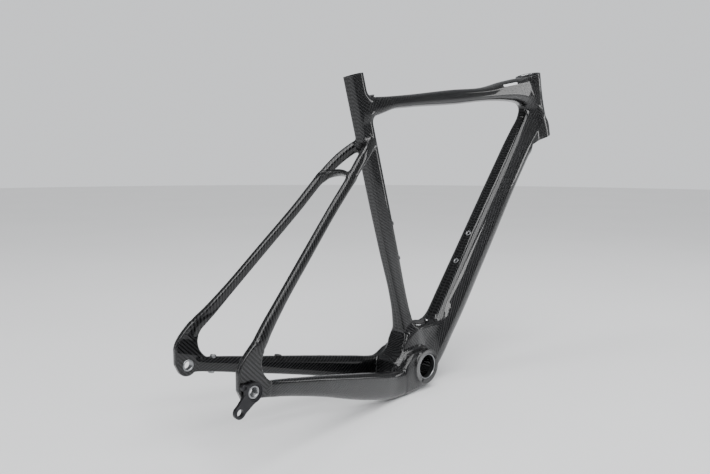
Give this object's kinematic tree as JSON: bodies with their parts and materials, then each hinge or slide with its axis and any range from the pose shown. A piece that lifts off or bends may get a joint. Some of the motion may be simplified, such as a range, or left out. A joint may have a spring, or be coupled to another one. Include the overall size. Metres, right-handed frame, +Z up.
{
  "type": "bicycle frame",
  "caption": "Carbon road bicycle frame with a battery-size down tube, an aero seat tube, dropped slender seatstays, a charge port and a hidden seat clamp.",
  "frame": {"origin": "centre of the bottom bracket, half way along its axis", "axes": "+X forward, +Y to the rider's left (the disc brake side) along the bottom bracket axis, +Z up; the rear axle and the bottom bracket are in their riding positions"},
  "size_m": [0.8972, 0.1672, 0.5944],
  "materials": {
    "carbon_gloss": "woven carbon under a clear gloss coat",
    "alloy": "machined, bead blasted",
    "black_alloy": "black anodised",
    "steel": "turned, zinc plated",
    "rubber": "moulded, matt"
  },
  "bodies": {
    "frame": {"head_tube": "carbon_gloss", "lower_headset_seat": "alloy", "upper_headset_seat": "alloy", "bottom_bracket_lug": "carbon_gloss", "bottom_bracket_shell": "carbon_gloss", "bearing_seat_drive_side": "alloy", "bearing_seat_disc_side": "alloy", "top_tube": "carbon_gloss", "seat_tube": "carbon_gloss", "seat_clamp_seat": "black_alloy", "seat_clamp_plug": "rubber", "down_tube": "carbon_gloss", "bottle_boss_down_tube_1": "alloy", "bottle_boss_down_tube_2": "alloy", "chainstay_drive_side": "carbon_gloss", "chainstay_disc_side": "carbon_gloss", "brake_sleeve_1": "alloy", "brake_sleeve_2": "alloy", "brake_hose_grommet": "rubber", "seatstay_drive_side": "carbon_gloss", "seatstay_disc_side": "carbon_gloss", "seatstay_bridge": "carbon_gloss", "dropout_drive_side": "carbon_gloss", "dropout_disc_side": "carbon_gloss", "derailleur_hanger": "black_alloy", "axle_nut": "alloy", "axle_insert": "alloy", "bottle_boss_seat_tube_1": "alloy", "bottle_boss_seat_tube_2": "alloy", "charge_port_ring": "alloy", "charge_port_socket": "rubber", "charge_port_bracket": "black_alloy", "charge_port_pin": "steel", "charge_port_screw": "steel"},
    "port_cover": {"charge_port_cover": "rubber"},
    "clamp_bolt": {"seat_clamp_bolt": "steel"},
    "clamp_wedge": {"seat_clamp_wedge": "black_alloy"}
  },
  "joints": [
    {"name": "port_cover_hinge", "type": "hinge", "parent": "frame", "child": "port_cover", "pos_m": [0.0395, 0, 0.0699], "axis": [0, 1, 0], "range_deg": [0, 110]},
    {"name": "clamp_bolt_turn", "type": "hinge", "parent": "frame", "child": "clamp_bolt", "pos_m": [-0.1007, 0, 0.45196], "axis": [-0.2823, 0, 0.9593], "range_deg": [0, 900.1]},
    {"name": "clamp_wedge_slide", "type": "slide", "parent": "frame", "child": "clamp_wedge", "axis": [-0.2823, 0, 0.9593], "range_m": [0, 0.0025]}
  ],
  "couplings": [
    {"joint": "clamp_bolt_turn", "follows": "clamp_wedge_slide", "rad_per_m": 6283.2}
  ]
}
